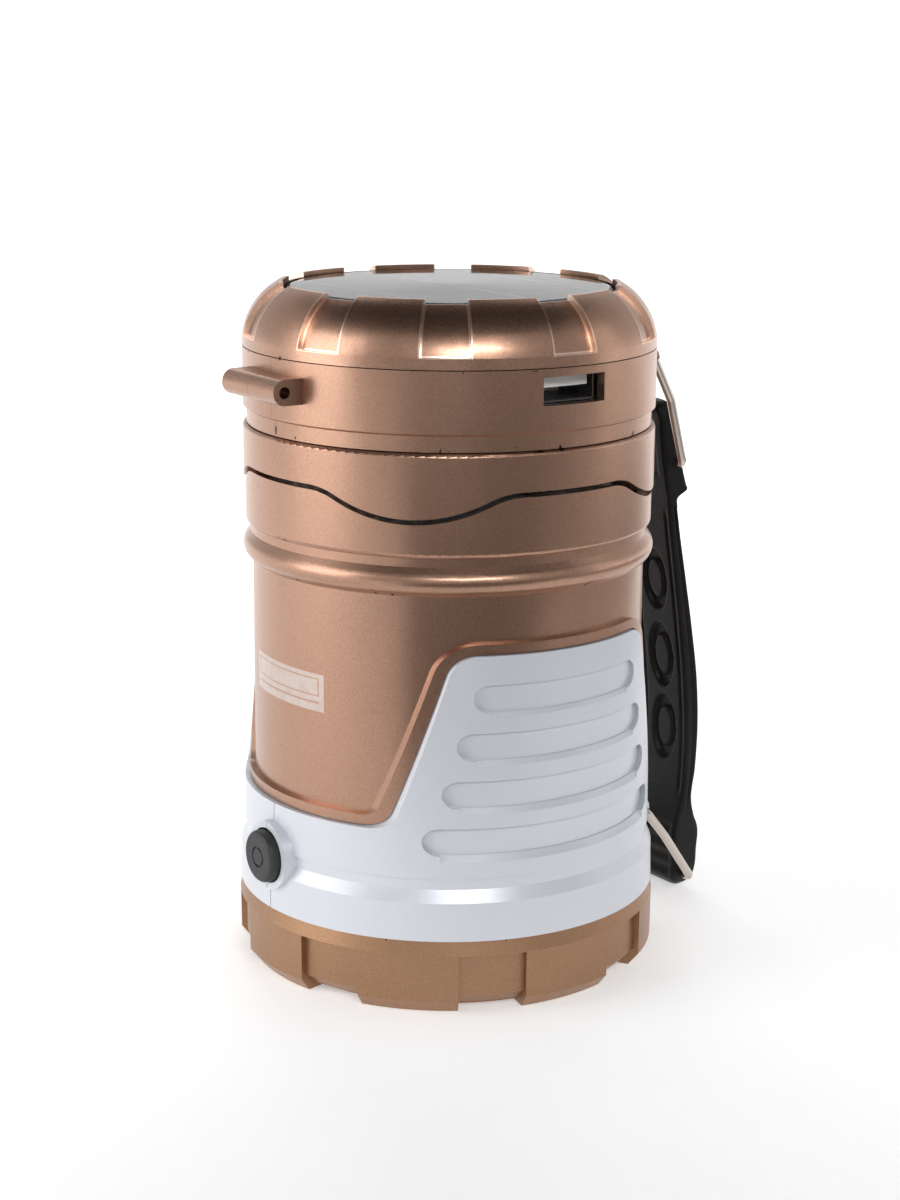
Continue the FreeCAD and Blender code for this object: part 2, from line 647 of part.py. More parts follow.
def tongue_sides(body, turn):
    """Clear the rim on both sides of one pair of opposite tongues."""
    sketch = new_sketch(body, "XZ_Plane", turn=turn)
    for sign, back in (("", "-"), ("-", "")):
        outline(sketch, [
            (sign + "0.4", "wave_flat - wave_drop"), (sign + "31.0", "wave_flat - wave_drop"),
            (sign + "31.0", "wave_flat + wave_gap"), (sign + "wave_half", "wave_flat + wave_gap"),
            (sign + "%.4f" % tongue_across, "wave_flat + wave_gap - %.4f" % tongue_fall),
            (sign + "0.4", "wave_flat - wave_drop + wave_gap")],
            {3: sign + "wave_shoulder + wave_gap", 4: back + "%.4f" % wide})
    return pocketed(body, sketch, both=True)


for turn in (45, 135):
    tongue_sides(collar, turn)

housing = new_body("upper_housing")
sketch = new_sketch(housing, "XZ_Plane")
outline(sketch, [
    ("housing_bore", "collar_top"), ("neck_radius", "collar_top"), ("neck_radius", "neck_top"),
    ("head_radius", "neck_top + 0.5"), ("head_radius", "housing_top - 0.2"),
    ("housing_bore", "housing_top - 0.2")])
turned(housing, sketch)
sketch = new_sketch(housing, "YZ_Plane")
for side in (-1, 1):
    sign = "" if side > 0 else "-"
    arc = "lug_radius + 0.001" if side > 0 else "-lug_radius + 0.001"
    outline(sketch, [
        (sign + "housing_bore %s 0.4" % ("+" if side > 0 else "-"), "lug_level - lug_radius"),
        (sign + "lug_reach", "lug_level - lug_radius"),
        (sign + "lug_reach", "lug_level + lug_radius"),
        (sign + "housing_bore %s 0.4" % ("+" if side > 0 else "-"), "lug_level + lug_radius")],
        {1: arc})
    disc(sketch, sign + "lug_reach", "lug_level", "lug_bore")
padded(housing, sketch, "lug_length", both=True)
sketch = new_sketch(housing, "YZ_Plane")
block(sketch, "-port_width*0.5", "port_width*0.5", "port_level - port_height*0.5",
      "port_level + port_height*0.5")
pocketed(housing, sketch, back=True)

crown = new_body("crown_cap")
sketch = new_sketch(crown, "XZ_Plane")
outline(sketch, [
    ("housing_bore", "housing_top"), ("head_radius", "housing_top"),
    ("head_radius - 0.1", "crown_shoulder"), ("crown_rim_radius", "crown_top"),
    ("crown_bore", "crown_top"), ("crown_bore", "panel_seat"), (28.0, "panel_seat"),
    (28.0, "panel_seat - 1.6"), ("crown_rim_radius - 1.0", "panel_seat - 1.6"),
    ("housing_bore", "crown_shoulder")], {2: "crown_curve", 8: "-crown_curve - 2.4"})
turned(crown, sketch)
sketch = new_sketch(crown, "XZ_Plane")
outline(sketch, [
    ("head_radius - crown_recess_depth", "crown_shoulder"), ("head_radius + 2.0", "crown_shoulder"),
    ("head_radius + 2.0", "crown_top + 2.0"), ("crown_bore - 0.5", "crown_top + 2.0"),
    ("crown_bore - 0.5", "crown_top - 1.0"),
    ("crown_rim_radius - 0.5", "crown_top - 1.0")], {5: "-crown_curve"})
groove = turned(crown, sketch, "crown_recess_angle", cut=True, both=True)
repeated(crown, groove, "crown_recesses")

ring("solar_panel", 0, "panel_radius", "panel_seat", "panel_seat + 0.9")
glaze = new_body("panel_glaze")
sketch = new_sketch(glaze, "XZ_Plane")
outline(sketch, [
    (0, "panel_seat + 0.9"), ("panel_radius", "panel_seat + 0.9"),
    ("panel_radius", "panel_seat + 1.2"), ("panel_radius - 1.2", "panel_seat + 2.1"),
    (0, "panel_seat + 2.4")], {2: "1.6"})
turned(glaze, sketch)

bay = new_body("bay_floor")
sketch = new_sketch(bay, "XY_Plane", level="bay_level")
disc(sketch, 0, 0, "barrel_bore + 0.1")
disc(sketch, 33.0, 0, 2.0)
padded(bay, sketch, 1.6)
sketch = new_sketch(bay, "XY_Plane", level="bay_level + 1.6")
POSTS = circle_spots(31.0, (60, 180, 300))
for x, y in POSTS:
    disc(sketch, "%.4f" % x, "%.4f" % y, "3.0")
padded(bay, sketch, "board_level - bay_level - 1.6")
sketch = new_sketch(bay, "XY_Plane", level="board_level")
for x, y in POSTS:
    disc(sketch, "%.4f" % x, "%.4f" % y, "1.3")
pocketed(bay, sketch, 7.0)

cone = new_body("lamp_cone")
sketch = new_sketch(cone, "XZ_Plane")
outline(sketch, [
    (0, 98.0), (1.2, 98.0), (28.5, "bay_level - 1.0"), (28.5, "bay_level"), (0, "bay_level")],
    {1: "-45.0"})
turned(cone, sketch)

chimney = new_body("lamp_chimney")
sketch = new_sketch(chimney, "XZ_Plane")
outline(sketch, [
    ("chimney_bore", "chimney_floor"), ("barrel_bore - 0.35", "chimney_floor"),
    ("barrel_bore - 0.35", "chimney_floor + 1.5"), ("chimney_radius", "chimney_floor + 1.5"),
    ("chimney_radius", "chimney_top"), ("chimney_bore", "chimney_top")])
turned(chimney, sketch)

board = new_body("charge_board")
sketch = new_sketch(board, "XY_Plane", level="board_level")
disc(sketch, 0, 0, 38.0)
for x, y in POSTS:
    disc(sketch, "%.4f" % x, "%.4f" % y, "1.5")
padded(board, sketch, "board_thickness")
screw_set("board_screws", POSTS, SIZE["board_level"] - 5.0,
          SIZE["board_level"] + SIZE["board_thickness"], 1.15, 2.6, 1.5)

parts = [
    Part.makeBox(5.0, 4.0, 1.6, FreeCAD.Vector(5.0, 10.0, 0)),
    Part.makeCylinder(4.0, 4.0, FreeCAD.Vector(-6.0, 14.0, 0)),
    Part.makeCylinder(3.1, 7.0, FreeCAD.Vector(8.0, -14.0, 0)),
    Part.makeBox(3.0, 1.6, 1.2, FreeCAD.Vector(-8.0, -8.0, 0)),
    Part.makeBox(3.0, 1.6, 1.2, FreeCAD.Vector(-8.0, -14.0, 0)),
]
chips = solid_node("charge_parts", Part.makeCompound(parts))
chips.Placement.Base = FreeCAD.Vector(0, 0, SIZE["board_level"] + SIZE["board_thickness"])
bind(chips, "Placement.Base.z", "board_level + board_thickness")

shell = new_body("usb_shell")
sketch = new_sketch(shell, "YZ_Plane", level=26.0)
block(sketch, -6.9, 6.9, "port_level - 2.75", "port_level + 2.75")
block(sketch, -6.5, 6.5, "port_level - 2.35", "port_level + 2.35")
padded(shell, sketch, 13.6)
tongue = new_body("usb_tongue")
sketch = new_sketch(tongue, "YZ_Plane", level=26.0)
block(sketch, -6.45, 6.45, "port_level - 2.3", "port_level + 2.3")
padded(tongue, sketch, 3.0)
sketch = new_sketch(tongue, "YZ_Plane", level=29.0)
block(sketch, -5.6, 5.6, "port_level + 0.2", "port_level + 2.1")
padded(tongue, sketch, 10.0)

leads = [
    bent_wire([(-9.0, 3.0, 140.3), (-9.0, 3.0, 134.0), (-14.0, 3.0, 129.0),
               (-14.0, 3.0, 123.5)], 0.7, 1.6),
    bent_wire([(-9.0, -3.0, 140.3), (-9.0, -3.0, 134.0), (-14.0, -3.0, 129.0),
               (-14.0, -3.0, 123.5)], 0.7, 1.6),
]
solid_node("solar_leads", Part.makeCompound(leads))

# A coiled lead joins the two boards and stretches as the head lifts.
turns = Part.makeHelix(2.6, 17.0, 2.0)
section = Part.Wire([Part.makeCircle(0.6, FreeCAD.Vector(2.0, 0, 0), FreeCAD.Vector(0, 1, 0))])
coil = Part.Wire(turns).makePipeShell([section], True, True)
lead = solid_node("coiled_lead", coil)
lead.Placement.Base = FreeCAD.Vector(31.5, 0, 93.4)

# --- carrying handle ---------------------------------------------------------------------------

UP_PIVOT = (46.0, 125.0)
UP_HOLE = (55.6, 101.0)
LOW_PIVOT = (46.5, 23.0)
LOW_HOLE = (61.5, 3.8)

strap = new_body("strap_grip")
sketch = new_sketch(strap, "YZ_Plane")
outline(sketch, [
    (59.0, 2.0), (62.0, 0.6), (64.6, 3.2), (65.7, 9.5), (65.8, 14.6), (63.7, 20.8),
    (65.0, 38.0), (57.4, 87.5), (56.8, 93.2), (60.0, 94.9), (56.9, 104.2), (54.2, 115.3),
    (50.6, 114.9), (52.6, 100.0), (54.2, 92.0), (61.4, 36.0), (60.7, 22.5), (58.5, 15.0)],
    {6: "150.0", 14: "-150.0"})
disc(sketch, UP_HOLE[0], UP_HOLE[1], "wire_bore")
disc(sketch, LOW_HOLE[0], LOW_HOLE[1], "wire_bore")
padded(strap, sketch, "strap_width", both=True)

radius = SIZE["wire_radius"]
legs = [(11.3, UP_PIVOT[0], UP_PIVOT[1]), (11.2, 51.0, 115.8), (10.4, UP_HOLE[0], UP_HOLE[1])]
path = legs + [(-x, y, z) for x, y, z in reversed(legs)]
solid_node("upper_wire", bent_wire(path, radius, 1.5))
legs = [(8.0, LOW_PIVOT[0], LOW_PIVOT[1]), (11.7, LOW_PIVOT[0], LOW_PIVOT[1]),
        (11.4, 52.6, 15.8), (10.4, LOW_HOLE[0], LOW_HOLE[1])]
path = legs + [(-x, y, z) for x, y, z in reversed(legs)]
solid_node("lower_wire", bent_wire(path, radius, 1.4))

doc.recompute()

bad = []
for item in doc.Objects:
    if "Invalid" in item.State or "Error" in item.State:
        bad.append("%s %s" % (item.Label, item.State))
for node in nodes:
    if node.Shape.isNull() or not node.Shape.isValid():
        bad.append("%s has no valid shape" % node.Label)
print("bad:", bad)

os.makedirs("parts", exist_ok=True)
for node in nodes:
    node.Shape.exportStep("parts/%s.step" % node.Label)
    box = node.Shape.BoundBox
    print("%-16s %8.1f mm3  z %.1f to %.1f" % (node.Label, node.Shape.Volume, box.ZMin, box.ZMax))
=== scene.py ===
import math

import bpy
import numpy as np
from mathutils import Matrix, Vector


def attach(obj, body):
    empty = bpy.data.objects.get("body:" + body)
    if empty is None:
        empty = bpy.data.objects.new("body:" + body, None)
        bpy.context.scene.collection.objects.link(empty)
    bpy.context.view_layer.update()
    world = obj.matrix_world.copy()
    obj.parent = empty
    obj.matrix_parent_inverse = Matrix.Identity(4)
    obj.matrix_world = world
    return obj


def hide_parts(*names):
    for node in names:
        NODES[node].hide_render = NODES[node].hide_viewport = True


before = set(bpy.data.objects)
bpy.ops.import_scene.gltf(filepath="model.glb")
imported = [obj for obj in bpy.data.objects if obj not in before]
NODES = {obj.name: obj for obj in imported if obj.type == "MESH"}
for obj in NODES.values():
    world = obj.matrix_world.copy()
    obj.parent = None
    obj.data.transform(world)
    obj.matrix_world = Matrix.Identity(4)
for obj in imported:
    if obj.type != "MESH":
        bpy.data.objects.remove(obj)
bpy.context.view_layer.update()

MM = 0.001


# --- material helpers ------------------------------------------------------------------------

class Look:
    """A principled material with short calls for its procedural nodes."""

    def __init__(self, name, color, metallic=0.0, roughness=0.5, **sockets):
        self.mat = bpy.data.materials.new(name)
        self.mat.use_nodes = True
        self.tree = self.mat.node_tree
        self.shader = self.tree.nodes["Principled BSDF"]
        self.set("Base Color", (*color, 1.0))
        self.set("Metallic", metallic)
        self.set("Roughness", roughness)
        for socket, value in sockets.items():
            self.set(socket.replace("_", " "), value)

    def set(self, socket, value):
        """Constant on one of the shader's own sockets."""
        self.shader.inputs[socket].default_value = value

    def node(self, kind, **inputs):
        """New node; each keyword is one of its settings or, if it has none such, a socket."""
        made = self.tree.nodes.new("ShaderNode" + kind)
        for key, value in inputs.items():
            if hasattr(made, key):
                setattr(made, key, value)
            else:
                made.inputs[key.replace("_", " ")].default_value = value
        return made

    def link(self, source, target):
        self.tree.links.new(source, target)

    def place(self):
        """Object position in metres."""
        coords = self.node("TexCoord")
        return coords.outputs["Object"]

    def noise(self, scale, detail=2.0, rough=0.5):
        """Noise over the object, around 0.5; a larger scale is finer."""
        made = self.node("TexNoise", Scale=scale, Detail=detail, Roughness=rough)
        self.link(self.place(), made.inputs["Vector"])
        return made.outputs["Fac"]

    def cells(self, scale, output="Distance"):
        """Cell pattern over the object."""
        made = self.node("TexVoronoi", Scale=scale)
        self.link(self.place(), made.inputs["Vector"])
        return made.outputs[output]

    def span(self, source, low, high, to_low, to_high):
        """Source mapped from low..high onto to_low..to_high and held at both ends."""
        made = self.node("MapRange")
        made.inputs["From Min"].default_value = low
        made.inputs["From Max"].default_value = high
        made.inputs["To Min"].default_value = to_low
        made.inputs["To Max"].default_value = to_high
        self.link(source, made.inputs["Value"])
        return made.outputs["Result"]

    def maths(self, operation, first, second=None):
        """Math node; each operand is a number or a socket."""
        made = self.node("Math", operation=operation)
        for index, value in enumerate((first, second)):
            if value is None:
                continue
            if isinstance(value, (int, float)):
                made.inputs[index].default_value = value
            else:
                self.link(value, made.inputs[index])
        return made.outputs[0]

    def blend(self, factor, first, second):
        """Colour mix; each colour is a triple or a socket."""
        made = self.node("Mix", data_type="RGBA")
        self.link(factor, made.inputs[0])
        for index, value in ((6, first), (7, second)):
            if isinstance(value, tuple):
                made.inputs[index].default_value = (*value, 1.0)
            else:
                self.link(value, made.inputs[index])
        return made.outputs[2]

    def color(self, socket):
        self.link(socket, self.shader.inputs["Base Color"])

    def rough(self, socket):
        self.link(socket, self.shader.inputs["Roughness"])

    def bump(self, height, strength, distance, before=None):
        """Bump on the shader's normal, on top of an earlier one if given."""
        made = self.node("Bump", Strength=strength, Distance=distance)
        self.link(height, made.inputs["Height"])
        if before is not None:
            self.link(before, made.inputs["Normal"])
        self.link(made.outputs["Normal"], self.shader.inputs["Normal"])
        return made.outputs["Normal"]

    def axes(self):
        """The object position's x, y and z."""
        split = self.node("SeparateXYZ")
        self.link(self.place(), split.inputs[0])
        return split.outputs

    def near(self, value, level, half):
        """1 within half of a level and 0 outside it."""
        away = self.maths("ABSOLUTE", self.maths("SUBTRACT", value, level))
        return self.maths("LESS_THAN", away, half)


def mould_seam(look):
    """Hairline where the mould halves met on the front, with one small chip on it."""
    x, y, z = look.axes()
    front = look.maths("LESS_THAN", y, -20 * MM)
    wander = look.maths("MULTIPLY", look.maths("SUBTRACT", look.noise(90.0), 0.5), 0.3 * MM)
    line = look.near(look.maths("ADD", x, wander), 0.0, 0.07 * MM)
    faint_line = look.maths("MULTIPLY", line, 0.55)
    chip = look.maths("MULTIPLY", look.near(x, 0.2 * MM, 0.4 * MM),
                      look.near(z, 116.5 * MM, 1.3 * MM))
    ragged = look.maths("GREATER_THAN", look.noise(900.0, 2.0), 0.46)
    chip = look.maths("MULTIPLY", chip, ragged)
    return look.maths("MULTIPLY", front, look.maths("MAXIMUM", faint_line, chip))


RECESSES = 10
RECESS_PITCH = 360.0 / RECESSES
RECESS_SIDE = 6.65
RECESS_FOOT = 133.1


def recess_highlight_mask(look):
    """Painted highlight along the edges of the recesses round the crown: angles in degrees from
    each middle.
    """
    x, y, z = look.axes()
    turn = look.maths("DIVIDE", look.maths("ARCTAN2", y, x), math.radians(RECESS_PITCH))
    folded = look.maths("FRACT", look.maths("ADD", turn, RECESSES + 0.5))
    aside = look.maths("ABSOLUTE", look.maths("SUBTRACT", folded, 0.5))
    sides = look.near(aside, RECESS_SIDE / RECESS_PITCH, 0.42 / RECESS_PITCH)
    sides = look.maths("MULTIPLY", sides, look.maths(
        "GREATER_THAN", z, (RECESS_FOOT - 0.2) * MM))
    inside = look.maths("LESS_THAN", aside, (RECESS_SIDE + 0.25) / RECESS_PITCH)
    foot = look.maths("MULTIPLY", inside, look.near(z, RECESS_FOOT * MM, 0.22 * MM))
    return look.maths("MAXIMUM", sides, foot)


def printed_plate(look):
    """Plain silver-grey printed plate on the front with a bare outline, no lettering."""
    x, y, z = look.axes()
    angle = look.maths("ARCTAN2", x, look.maths("MULTIPLY", y, -1.0))

    def box(half_angle, middle, half_height):
        inside = look.near(angle, 0.0, math.radians(half_angle))
        return look.maths("MULTIPLY", inside, look.near(z, middle * MM, half_height * MM))

    whole = box(18.0, 63.9, 3.9)
    outline = look.maths("SUBTRACT", box(16.2, 65.0, 1.9), box(15.7, 65.0, 1.6))
    underline = box(16.2, 61.8, 0.22)
    bare = look.maths("MULTIPLY", look.maths("MAXIMUM", outline, underline), 0.8)
    shown = look.maths("SUBTRACT", whole, bare)
    worn = look.span(look.noise(700.0, 3.0), 0.3, 0.55, 0.5, 0.7)
    return look.maths("MULTIPLY", shown, worn)


CHIPPED = (0.035, 0.02, 0.014)
# Painted highlight colour for the edges of the crown's recesses.
RECESS_HIGHLIGHT = (0.88, 0.68, 0.56)
SEAM_SHADE = (0.10, 0.055, 0.036)
PLATE_INK = (0.60, 0.55, 0.52)


def metal_paint(name, base, light, dark, roughness, flake, seams=(), grain=0.0, metallic=1.0,
                coat=0.16, coat_roughness=0.12, split=False, plate=False, edges=False):
    """Metallic paint on moulded plastic: flakes, slow mottling and chips at the seam levels.

    split draws the mould seam, plate the printed plate and edges paints a highlight along the
    crown's recess edges.
    """
    look = Look(name, base, metallic, roughness, Coat_Weight=coat,
                Coat_Roughness=coat_roughness)
    slow = look.noise(22.0, 3.0, 0.5)
    fine = look.noise(flake, 2.0, 0.7)
    sparkle = look.cells(flake * 1.4, "Color")
    grey = look.node("RGBToBW")
    look.link(sparkle, grey.inputs[0])
    glint = look.span(grey.outputs[0], 0.2, 0.8, 0.0, 1.0)
    tone = look.blend(look.span(slow, 0.35, 0.65, 0.0, 1.0), dark, base)
    tone = look.blend(look.maths("MULTIPLY", glint, 0.3), tone, light)
    wear = None
    if seams:
        height = look.axes()[2]
        chips = look.maths("GREATER_THAN", look.noise(520.0, 1.0, 0.4), 0.715)
        for level in seams:
            here = look.near(height, level * MM, 0.6 * MM)
            wear = here if wear is None else look.maths("MAXIMUM", wear, here)
        wear = look.maths("MULTIPLY", wear, chips)
        tone = look.blend(wear, tone, CHIPPED)
    if edges:
        # Painted highlight along the crown's recess edges.
        tone = look.blend(look.maths("MULTIPLY", recess_highlight_mask(look), 0.75), tone, RECESS_HIGHLIGHT)
    if split:
        tone = look.blend(mould_seam(look), tone, SEAM_SHADE)
    if plate:
        tone = look.blend(printed_plate(look), tone, PLATE_INK)
    look.color(tone)
    look.rough(look.span(fine, 0.3, 0.7, roughness - 0.05, roughness + 0.07))
    first = look.bump(fine, 0.10 + grain, 0.00006 + 0.0002 * grain)
    look.bump(slow, 0.04, 0.0006, first)
    return look.mat


CROWN_SEAM = 130.8
COLLAR_SEAM = 115.0
BARREL_SEAM = 86.6
BASE_SEAM = 15.5
# Base, light and dark tones.
COPPER_TONES = ((0.40, 0.224, 0.152), (0.64, 0.45, 0.345), (0.365, 0.200, 0.134))

CROWN = metal_paint("crown_paint", *COPPER_TONES, 0.29, 5200.0, seams=(CROWN_SEAM,),
                    edges=True)
COPPER = metal_paint("copper_paint", *COPPER_TONES, 0.31, 5200.0,
                     seams=(CROWN_SEAM, COLLAR_SEAM, BARREL_SEAM))
UPPER = metal_paint("housing_paint", *COPPER_TONES, 0.31, 5200.0,
                    seams=(CROWN_SEAM, COLLAR_SEAM), split=True)
BARREL = metal_paint("barrel_paint", *COPPER_TONES, 0.31, 5200.0, seams=(BARREL_SEAM,),
                     plate=True)
BEZEL = metal_paint("bezel_copper_paint", (0.35, 0.196, 0.112), (0.54, 0.35, 0.22),
                    (0.30, 0.163, 0.088), 0.43, 4200.0, seams=(BASE_SEAM,), grain=0.35)
SILVER = metal_paint("silver_paint", (0.64, 0.66, 0.71), (0.71, 0.73, 0.78),
                     (0.615, 0.635, 0.685), 0.32, 6000.0, metallic=0.18, coat=0.35,
                     coat_roughness=0.3)


def plastic(name, color, roughness, grain=700.0, depth=0.25, vary=0.12, **sockets):
    """Moulded plastic or rubber with a fine grain and slight mottling."""
    look = Look(name, color, 0.0, roughness, **sockets)
    slow = look.noise(45.0, 3.0)
    fine = look.noise(grain, 3.0, 0.6)
    lighter = tuple(min(1.0, c * (1 + vary) + 0.004) for c in color)
    darker = tuple(c * (1 - vary) for c in color)
    look.color(look.blend(look.span(slow, 0.3, 0.7, 0.0, 1.0), darker, lighter))
    look.rough(look.span(fine, 0.3, 0.7, roughness - 0.06, roughness + 0.08))
    look.bump(fine, depth, 0.00008)
    return look.mat


def bare_metal(name, color, roughness, scratch=500.0):
    """Bare or plated metal with fine scratches."""
    look = Look(name, color, 1.0, roughness)
    fine = look.noise(scratch, 3.0, 0.6)
    slow = look.noise(60.0, 2.0)
    look.color(look.blend(slow, tuple(c * 0.86 for c in color), color))
    look.rough(look.span(fine, 0.3, 0.7, roughness * 0.8, roughness * 1.5))
    look.bump(fine, 0.08, 0.00003)
    return look.mat


RUBBER = plastic("strap_rubber", (0.005, 0.005, 0.006), 0.44, 1400.0, 0.3, 0.25,
                 Specular_IOR_Level=0.20)
BUTTON = plastic("button_plastic", (0.017, 0.018, 0.020), 0.5, 1600.0, 0.35)
WHITE = plastic("white_plastic", (0.78, 0.78, 0.76), 0.4)
INNER = plastic("inner_plastic", (0.05, 0.05, 0.055), 0.55)
CHIP = plastic("chip_plastic", (0.02, 0.02, 0.022), 0.4)
LEAD_RED = plastic("lead_red", (0.45, 0.02, 0.015), 0.38)
LEAD_BLACK = plastic("lead_black", (0.02, 0.02, 0.022), 0.38)
PORT = plastic("port_plastic", (0.80, 0.80, 0.77), 0.35)
NICKEL = bare_metal("nickel_wire", (0.62, 0.56, 0.51), 0.16)
SHELL = bare_metal("port_shell", (0.22, 0.22, 0.23), 0.3)
STEEL = bare_metal("screw_steel", (0.52, 0.52, 0.53), 0.3)
CHROME = bare_metal("mirror_chrome", (0.88, 0.89, 0.90), 0.07, 200.0)
SEAL = plastic("seal_rubber", (0.02, 0.02, 0.02), 0.6)


def clear(name, color, roughness):
    """Clear plastic with a slightly uneven surface."""
    look = Look(name, color, 0.0, roughness, Transmission_Weight=1.0, IOR=1.49)
    fine = look.noise(260.0, 2.0)
    look.rough(look.span(fine, 0.3, 0.7, roughness * 0.7, roughness * 1.4))
    look.bump(look.noise(90.0, 2.0), 0.02, 0.0002)
    return look.mat


CLEAR = clear("clear_lens", (0.95, 0.97, 0.98), 0.05)


FLUTES = 72


def fluted():
    """Clear plastic with painted shade: a little greyer in the valleys of the chimney's flutes.
    """
    look = Look("fluted_plastic", (0.80, 0.86, 0.90), 0.0, 0.10, Transmission_Weight=0.86,
                IOR=1.49, Coat_Weight=0.4, Coat_Roughness=0.05)
    x, y, _ = look.axes()
    turn = look.maths("MULTIPLY", look.maths("ARCTAN2", y, x), float(FLUTES))
    flutes = look.maths("COSINE", turn)
    # Painted shade: the flute valleys are coloured greyer than the ridges.
    look.color(look.blend(look.span(flutes, -1.0, 1.0, 0.0, 1.0), (0.72, 0.79, 0.84),
                          (0.88, 0.92, 0.95)))
    look.rough(look.span(look.noise(260.0, 2.0), 0.3, 0.7, 0.07, 0.13))
    look.bump(look.noise(90.0, 2.0), 0.02, 0.0002)
    return look.mat


FLUTED = fluted()


def solar_cell():
    """Dark blue cells with fine silver fingers, broader bus bars and gaps between cells."""
    look = Look("solar_cell", (0.012, 0.018, 0.045), 0.15, 0.28, Coat_Weight=0.2,
                Coat_Roughness=0.04)
    x, y, _ = look.axes()
    tone = look.blend(look.noise(55.0, 4.0, 0.6), (0.008, 0.012, 0.032), (0.02, 0.03, 0.075))

    def lines(value, pitch, width):
        wrapped = look.maths("FRACT", look.maths("ADD", look.maths("DIVIDE", value, pitch), 0.5))
        away = look.maths("ABSOLUTE", look.maths("SUBTRACT", wrapped, 0.5))
        return look.maths("LESS_THAN", away, width / pitch / 2)

    fingers = lines(x, 2.1 * MM, 0.13 * MM)
    bars = lines(y, 20.5 * MM, 0.8 * MM)
    gaps = lines(look.maths("ADD", x, 6.5 * MM), 13 * MM, 0.5 * MM)
    tone = look.blend(fingers, tone, (0.18, 0.20, 0.24))
    tone = look.blend(bars, tone, (0.42, 0.44, 0.47))
    tone = look.blend(gaps, tone, (0.004, 0.005, 0.008))
    look.color(tone)
    look.bump(fingers, 0.2, 0.00005)
    return look.mat


SOLAR = solar_cell()


def glaze():
    """Clear cover over the cells, printed dark navy round its rim."""
    look = Look("panel_glaze", (0.86, 0.90, 0.95), 0.0, 0.05, Transmission_Weight=1.0, IOR=1.3)
    x, y, _ = look.axes()
    reach = look.maths("SQRT", look.maths("ADD", look.maths("MULTIPLY", x, x),
                                          look.maths("MULTIPLY", y, y)))
    rim = look.maths("GREATER_THAN", reach, 32.9 * MM)
    look.color(look.blend(rim, (0.80, 0.86, 0.94), (0.012, 0.02, 0.05)))
    look.link(look.maths("SUBTRACT", 1.0, rim), look.shader.inputs["Transmission Weight"])
    look.link(look.span(rim, 0.0, 1.0, 0.5, 0.05), look.shader.inputs["Specular IOR Level"])
    fine = look.noise(260.0, 2.0)
    look.rough(look.span(fine, 0.3, 0.7, 0.03, 0.07))
    look.bump(look.noise(90.0, 2.0), 0.02, 0.0002)
    return look.mat


GLAZE = glaze()


def circuit(name, base, track):
    """Solder-masked board with faint tracks."""
    look = Look(name, base, 0.0, 0.35, Coat_Weight=0.3)
    grid = look.cells(420.0)
    tracks = look.maths("LESS_THAN", look.maths("ABSOLUTE", look.maths(
        "SUBTRACT", look.noise(160.0, 0.0), 0.5)), 0.03)
    look.color(look.blend(tracks, base, track))
    look.bump(grid, 0.1, 0.0001)
    return look.mat


BOARD = circuit("circuit_board", (0.012, 0.10, 0.045), (0.03, 0.20, 0.09))
BOARD_WHITE = circuit("lamp_circuit_board", (0.72, 0.73, 0.72), (0.60, 0.61, 0.60))


def led_look():
    """Yellow phosphor of the lamp's LEDs."""
    look = Look("led_phosphor", (0.86, 0.78, 0.30), 0.0, 0.25, Coat_Weight=0.5)
    look.color(look.blend(look.cells(900.0), (0.90, 0.82, 0.34), (0.80, 0.70, 0.22)))
    look.bump(look.noise(800.0), 0.1, 0.00005)
    return look.mat


LED = led_look()


def cell_wrap():
    """Blue shrink wrap on the battery cell, bare metal at both ends."""
    look = Look("cell_wrap", (0.03, 0.13, 0.36), 0.0, 0.25, Coat_Weight=0.5)
    z = look.axes()[2]
    ends = look.maths("MAXIMUM", look.maths("GREATER_THAN", z, 88.2 * MM),
                      look.maths("LESS_THAN", z, 40.7 * MM))
    tone = look.blend(look.noise(80.0), (0.025, 0.11, 0.31), (0.04, 0.16, 0.42))
    look.color(look.blend(ends, tone, (0.55, 0.55, 0.56)))
    look.bump(look.noise(300.0), 0.1, 0.00005)
    return look.mat


CELL = cell_wrap()

DRESS = {
    CROWN: ("crown_cap",),
    COPPER: ("collar_ring",),
    UPPER: ("upper_housing",),
    BARREL: ("barrel_shell",),
    BEZEL: ("base_bezel",),
    SILVER: ("cover_right", "cover_left"),
    RUBBER: ("strap_grip",),
    BUTTON: ("torch_button",),
    WHITE: ("deck_plate", "bay_floor"),
    INNER: ("chassis", "stop_ring", "battery_cradle"),
    CHIP: ("driver_parts", "tact_switch", "charge_parts"),
    LEAD_RED: ("battery_leads", "solar_leads"),
    LEAD_BLACK: ("coiled_lead",),
    PORT: ("usb_tongue",),
    NICKEL: ("upper_wire", "lower_wire", "battery_spring", "battery_contact"),
    SHELL: ("usb_shell",),
    STEEL: ("deck_screws", "board_screws"),
    CHROME: ("torch_reflector", "lamp_cone"),
    SEAL: ("torch_seal",),
    CLEAR: ("torch_lens",),
    SOLAR: ("solar_panel",),
    GLAZE: ("panel_glaze",),
    BOARD: ("driver_board", "button_board", "charge_board"),
    BOARD_WHITE: ("lamp_board", "torch_board"),
    LED: ("lamp_leds", "torch_led"),
    CELL: ("battery_cell",),
}
for material, names in DRESS.items():
    for name in names:
        mesh = NODES[name].data
        mesh.materials.clear()
        mesh.materials.append(material)

# Bevel widths in millimetres of the mouldings whose edges catch the light.
SOFT_EDGES = {"barrel_shell": 0.35, "collar_ring": 0.35, "upper_housing": 0.3,
              "crown_cap": 0.45, "base_bezel": 0.45, "cover_right": 0.4, "cover_left": 0.4,
              "torch_button": 0.2}
BEVEL_FROM = math.radians(38)


